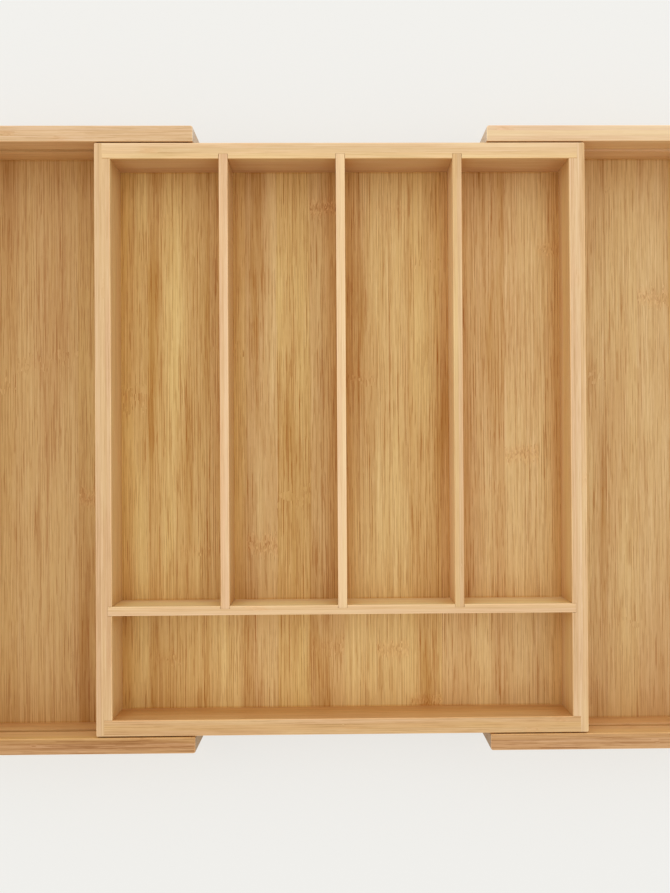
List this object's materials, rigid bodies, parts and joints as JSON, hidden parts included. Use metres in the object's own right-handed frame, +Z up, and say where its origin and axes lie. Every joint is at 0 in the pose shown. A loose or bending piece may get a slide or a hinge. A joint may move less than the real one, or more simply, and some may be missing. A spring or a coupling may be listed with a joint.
{
  "type": "expandable cutlery tray",
  "caption": "Bamboo cutlery tray for a drawer, with long compartments and a cross compartment in a fixed centre tray and a tray that slides out at each side.",
  "frame": {"origin": "middle of the rectangle that the tray stands on, with both sliding trays pulled out", "axes": "+X to the right along the way the trays slide, +Y to the back, away from the cross compartment, +Z up"},
  "size_m": [0.5836, 0.45, 0.058],
  "materials": {
    "centre_wall_bamboo": "satin clear lacquer",
    "sliding_wall_bamboo": "satin clear lacquer",
    "divider_bamboo": "satin clear lacquer",
    "floor_bamboo": "satin clear lacquer",
    "runner_bamboo": "bare sanded"
  },
  "bodies": {
    "centre_tray": {"centre_right_wall": "centre_wall_bamboo", "centre_left_wall": "centre_wall_bamboo", "centre_back_wall": "centre_wall_bamboo", "centre_front_wall": "centre_wall_bamboo", "centre_floor": "floor_bamboo", "cross_divider": "divider_bamboo", "long_divider_1": "divider_bamboo", "long_divider_2": "divider_bamboo", "long_divider_3": "divider_bamboo", "back_right_runner": "runner_bamboo", "back_left_runner": "runner_bamboo", "front_right_runner": "runner_bamboo", "front_left_runner": "runner_bamboo"},
    "left_tray": {"left_tray_back_wall": "sliding_wall_bamboo", "left_tray_front_wall": "sliding_wall_bamboo", "left_tray_end_wall": "sliding_wall_bamboo", "left_tray_floor": "floor_bamboo"},
    "right_tray": {"right_tray_back_wall": "sliding_wall_bamboo", "right_tray_front_wall": "sliding_wall_bamboo", "right_tray_end_wall": "sliding_wall_bamboo", "right_tray_floor": "floor_bamboo"}
  },
  "joints": [
    {"name": "left_tray_slide", "type": "slide", "parent": "centre_tray", "child": "left_tray", "axis": [1, 0, 0], "range_m": [0, 0.1035]},
    {"name": "right_tray_slide", "type": "slide", "parent": "centre_tray", "child": "right_tray", "axis": [-1, 0, 0], "range_m": [0, 0.1035]}
  ]
}
